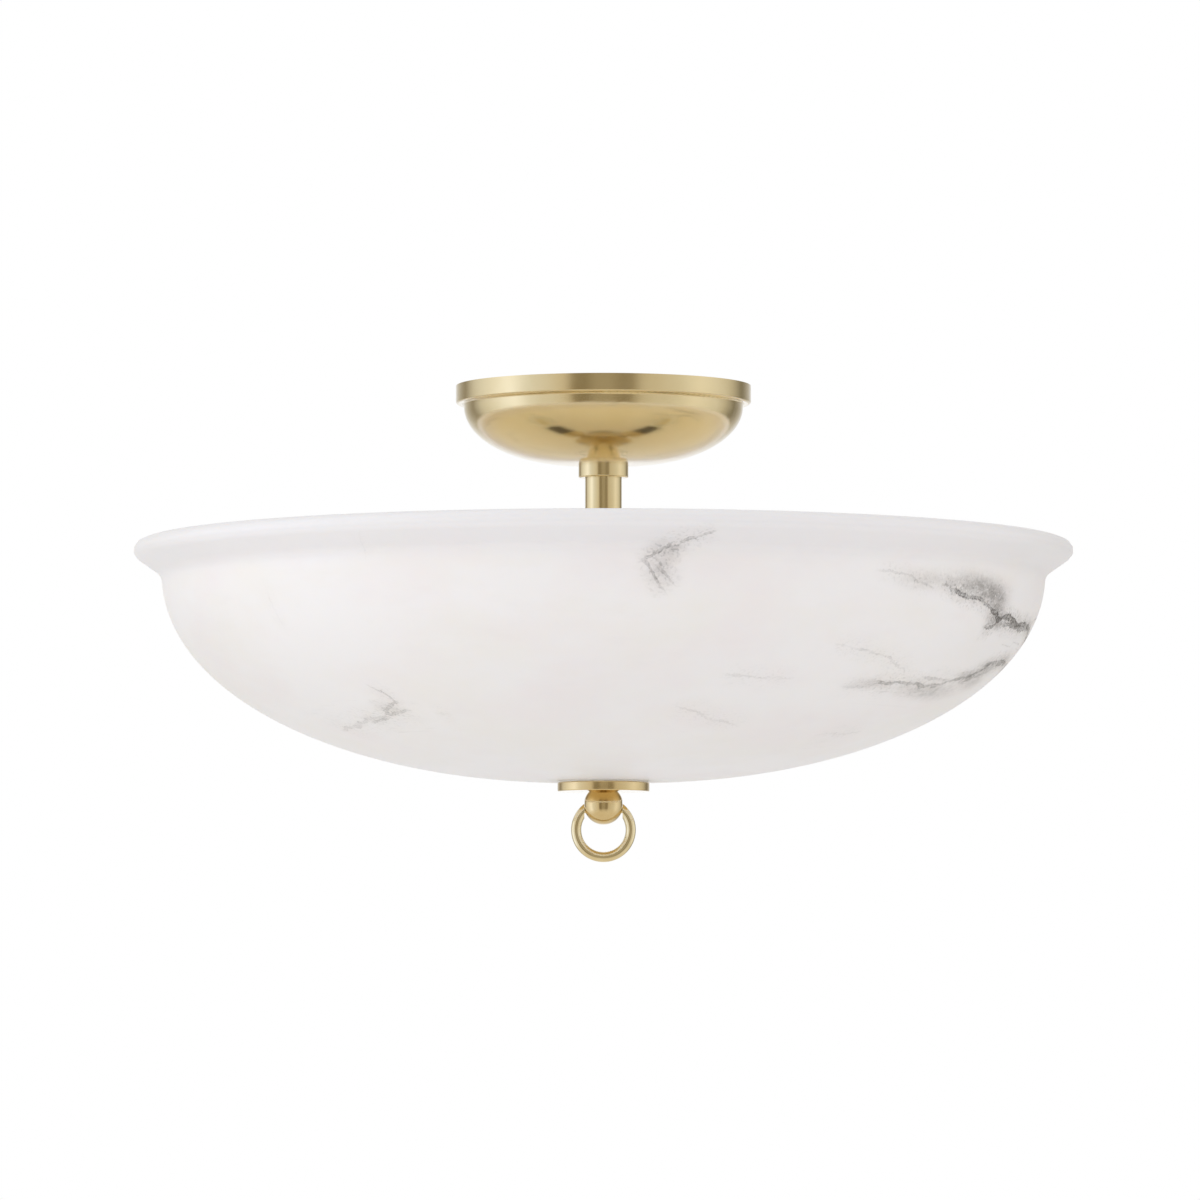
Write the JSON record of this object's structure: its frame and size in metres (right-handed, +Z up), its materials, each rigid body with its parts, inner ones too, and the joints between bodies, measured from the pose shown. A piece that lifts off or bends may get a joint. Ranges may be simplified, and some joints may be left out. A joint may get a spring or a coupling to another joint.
{
  "type": "semi-flush ceiling light",
  "caption": "Shallow alabaster bowl hung below a domed brass canopy on a short stem, held by a finial with a drop ring; lampholders stand inside the bowl.",
  "frame": {"origin": "centre of the ceiling mounting plane, on the light's upright axis, midway between the strap's slots", "axes": "+Z up out of the ceiling plane, +X along the strap, the drop ring faces along Y and its front is towards -Y"},
  "size_m": [0.4063, 0.4064, 0.2064],
  "materials": {
    "alabaster": "honed, with grey veins",
    "satin_brass": "satin, pale",
    "hub_brass": "satin",
    "zinc_steel": "zinc plated",
    "ground_green": "green",
    "black_insulator": "moulded",
    "contact_brass": "stamped",
    "bulb_nickel": "nickel plated",
    "clear_glass": "clear",
    "filament_phosphor": "coated",
    "block_cream": "moulded",
    "lead_black": "insulation",
    "lead_white": "insulation",
    "clear_nylon": "natural nylon",
    "gasket_rubber": "sheet rubber"
  },
  "bodies": {
    "root": {"stem_tube": "satin_brass", "stem_top_bushing": "satin_brass", "stem_foot_bushing": "satin_brass", "hub_cover": "hub_brass", "hub_cup": "hub_brass", "socket_arm_1": "hub_brass", "socket_arm_2": "hub_brass", "socket_arm_3": "hub_brass", "holder_cap_1": "hub_brass", "holder_cap_2": "hub_brass", "holder_cap_3": "hub_brass", "mounting_strap": "zinc_steel", "hanger_pipe": "zinc_steel", "hanger_nut": "zinc_steel", "lock_washer": "zinc_steel", "hub_pipe": "zinc_steel", "hub_nut": "zinc_steel", "hub_cover_screws": "zinc_steel", "tie_rod": "zinc_steel", "tie_rod_nuts": "zinc_steel", "check_washer": "zinc_steel", "ground_screw": "ground_green", "holder_body_1": "black_insulator", "holder_body_2": "black_insulator", "holder_body_3": "black_insulator", "screw_shell_1": "contact_brass", "screw_shell_2": "contact_brass", "screw_shell_3": "contact_brass", "centre_contact_1": "contact_brass", "centre_contact_2": "contact_brass", "centre_contact_3": "contact_brass", "bulb_base_1": "bulb_nickel", "bulb_base_2": "bulb_nickel", "bulb_base_3": "bulb_nickel", "bulb_glass_1": "clear_glass", "bulb_glass_2": "clear_glass", "bulb_glass_3": "clear_glass", "filament_mount_1": "clear_glass", "filament_mount_2": "clear_glass", "filament_mount_3": "clear_glass", "filaments_1": "filament_phosphor", "filaments_2": "filament_phosphor", "filaments_3": "filament_phosphor", "terminal_block": "block_cream", "live_leads": "lead_black", "neutral_leads": "lead_white"},
    "canopy": {"canopy_shell": "satin_brass", "slip_ring": "satin_brass", "slip_ring_screw": "zinc_steel"},
    "bowl": {"alabaster_bowl": "alabaster", "bowl_bushing": "clear_nylon", "seat_gasket": "gasket_rubber"},
    "finial": {"finial_disc": "satin_brass", "finial_ball": "satin_brass"},
    "ring": {"drop_ring": "satin_brass"}
  },
  "joints": [
    {"name": "canopy_slide", "type": "slide", "parent": "root", "child": "canopy", "axis": [0, 0, -1], "range_m": [0, 0.04]},
    {"name": "bowl_lower", "type": "slide", "parent": "root", "child": "bowl", "axis": [0, 0, -1], "range_m": [0, 0.00762]},
    {"name": "finial_turn", "type": "hinge", "parent": "bowl", "child": "finial", "pos_m": [0, 0, -0.17395], "axis": [0, 0, -1], "range_deg": [0, 2160]},
    {"name": "ring_swing", "type": "hinge", "parent": "finial", "child": "ring", "pos_m": [0, 0, -0.18401], "axis": [1, 0, 0], "range_deg": [-104, 104]}
  ],
  "couplings": [
    {"joint": "finial_turn", "follows": "bowl_lower", "rad_per_m": 4947.4}
  ]
}
